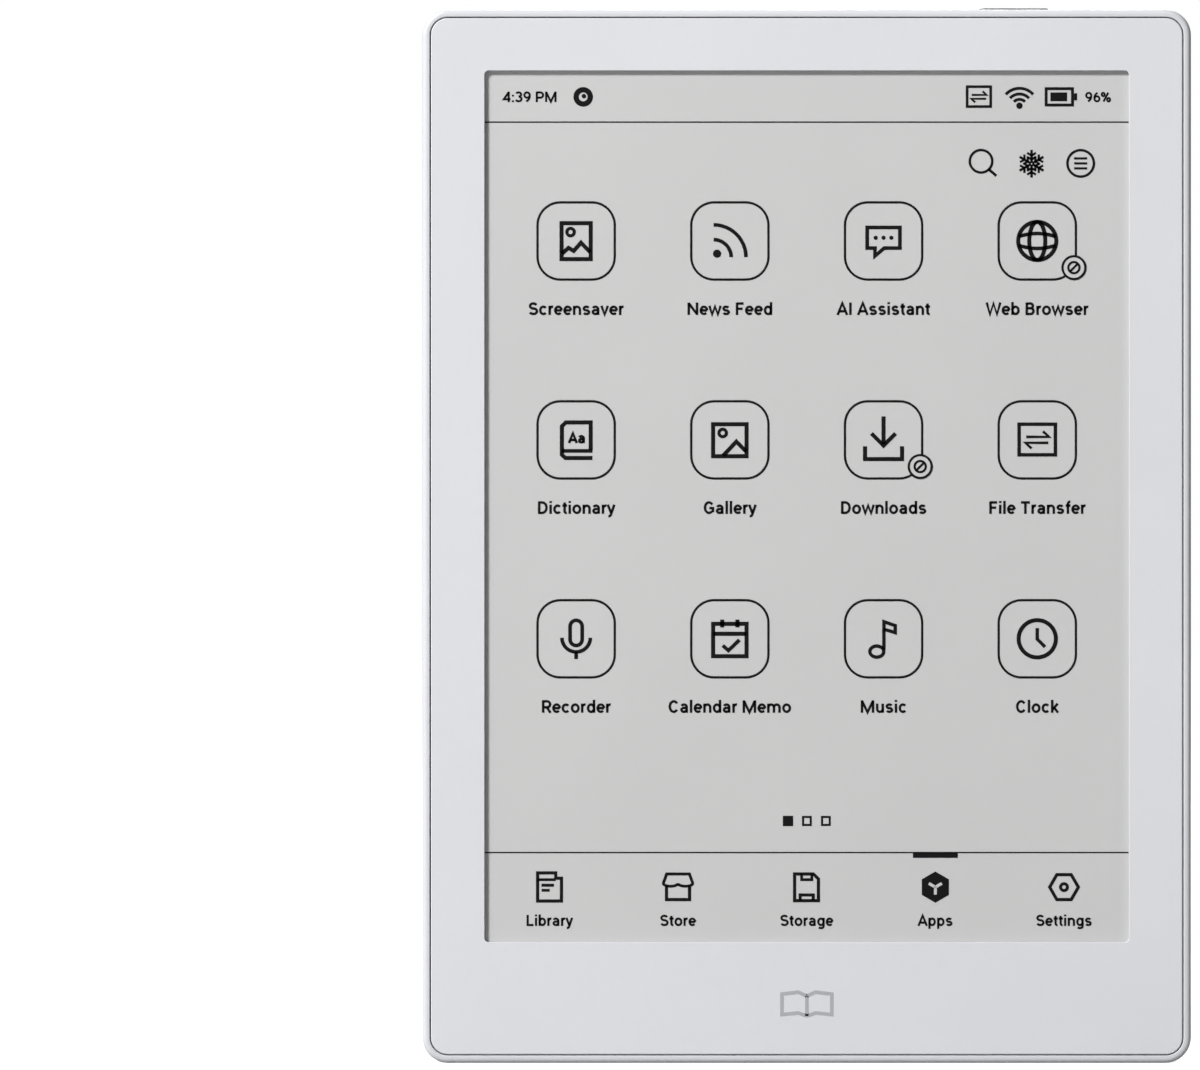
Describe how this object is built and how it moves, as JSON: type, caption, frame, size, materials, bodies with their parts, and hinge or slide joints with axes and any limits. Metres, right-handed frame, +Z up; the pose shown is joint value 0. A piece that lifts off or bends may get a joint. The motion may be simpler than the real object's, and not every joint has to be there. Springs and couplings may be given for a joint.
{
  "type": "e-reader",
  "caption": "Slim handheld e-reader with a recessed e-paper screen in a pale frame, a power button on the top edge, and a charging port and card slot below.",
  "frame": {"origin": "middle of the bottom edge: half way across the width and the thickness, on the lowest face", "axes": "+Z runs up the body to the edge with the power button, +X to the right seen from the screen side, +Y from the screen to the back"},
  "size_m": [0.108, 0.0068, 0.1485],
  "materials": {
    "housing_plastic": "satin",
    "bezel_plastic": "satin",
    "button_plastic": "satin",
    "screen_film": "matte",
    "black_foam": "matte",
    "tape": "matte",
    "touch_glass": "gloss",
    "light_guide": "gloss",
    "epaper": "matte",
    "backplane_glass": "gloss",
    "silicon": "gloss",
    "flex_film": "satin",
    "led_package": "satin",
    "frame_alloy": "matte",
    "steel_screw": "satin",
    "circuit_board": "satin",
    "can_metal": "satin",
    "port_metal": "satin",
    "chip_resin": "matte",
    "module_metal": "satin",
    "small_parts": "satin",
    "connector_plastic": "matte",
    "port_plastic": "satin",
    "switch_plastic": "satin",
    "gold_contact": "polished",
    "spring_steel": "polished",
    "battery_pouch": "satin",
    "wire_jacket": "satin",
    "coax_jacket": "satin",
    "magnet_metal": "satin",
    "graphite": "matte"
  },
  "bodies": {
    "root": {"rear_housing": "housing_plastic", "front_bezel": "bezel_plastic", "cover_film": "screen_film", "bezel_gasket": "black_foam", "microphone_gasket": "black_foam", "bezel_adhesive": "tape", "display_adhesive": "tape", "battery_adhesive": "tape", "touch_sensor": "touch_glass", "frontlight_guide": "light_guide", "epaper_film": "epaper", "display_backplane": "backplane_glass", "display_driver_chips": "silicon", "display_flex": "flex_film", "touch_flex": "flex_film", "frontlight_strip": "flex_film", "power_switch_flex": "flex_film", "wireless_antenna": "flex_film", "frontlight_leds": "led_package", "mid_frame": "frame_alloy", "housing_screws": "steel_screw", "board_screws": "steel_screw", "main_board": "circuit_board", "battery_protection_board": "circuit_board", "shield_can_processor": "can_metal", "shield_can_power": "can_metal", "power_switch_bracket": "can_metal", "card_socket_cover": "can_metal", "power_switch_dome": "can_metal", "usb_shell": "port_metal", "processor_chip": "chip_resin", "memory_chip": "chip_resin", "power_chip": "chip_resin", "storage_chip": "chip_resin", "hall_sensor": "chip_resin", "wireless_module": "module_metal", "microphone": "module_metal", "antenna_connector": "module_metal", "board_passives": "small_parts", "display_connector": "connector_plastic", "touch_connector": "connector_plastic", "frontlight_connector": "connector_plastic", "button_connector": "connector_plastic", "battery_connector": "connector_plastic", "usb_tongue": "port_plastic", "card_socket_base": "port_plastic", "power_switch_body": "port_plastic", "usb_contacts": "gold_contact", "card_contacts": "gold_contact", "card_slider_spring": "spring_steel", "battery_cell": "battery_pouch", "battery_leads": "wire_jacket", "antenna_coax": "coax_jacket", "cover_magnets": "magnet_metal", "graphite_sheet": "graphite"},
    "power_button": {"power_button_cap": "button_plastic", "power_switch_actuator": "switch_plastic"},
    "card_slider": {"card_slider": "port_plastic"}
  },
  "joints": [
    {"name": "power_button_press", "type": "slide", "parent": "root", "child": "power_button", "axis": [0, 0, -1], "range_m": [0, 0.00035], "stiffness_N_per_m": 1500, "springref_m": -0.0004, "deforming": ["power_switch_dome"]},
    {"name": "card_slider_push", "type": "slide", "parent": "root", "child": "card_slider", "axis": [0, 0, 1], "range_m": [0, 0.0012], "stiffness_N_per_m": 200, "springref_m": -0.001, "deforming": ["card_slider_spring"]}
  ]
}
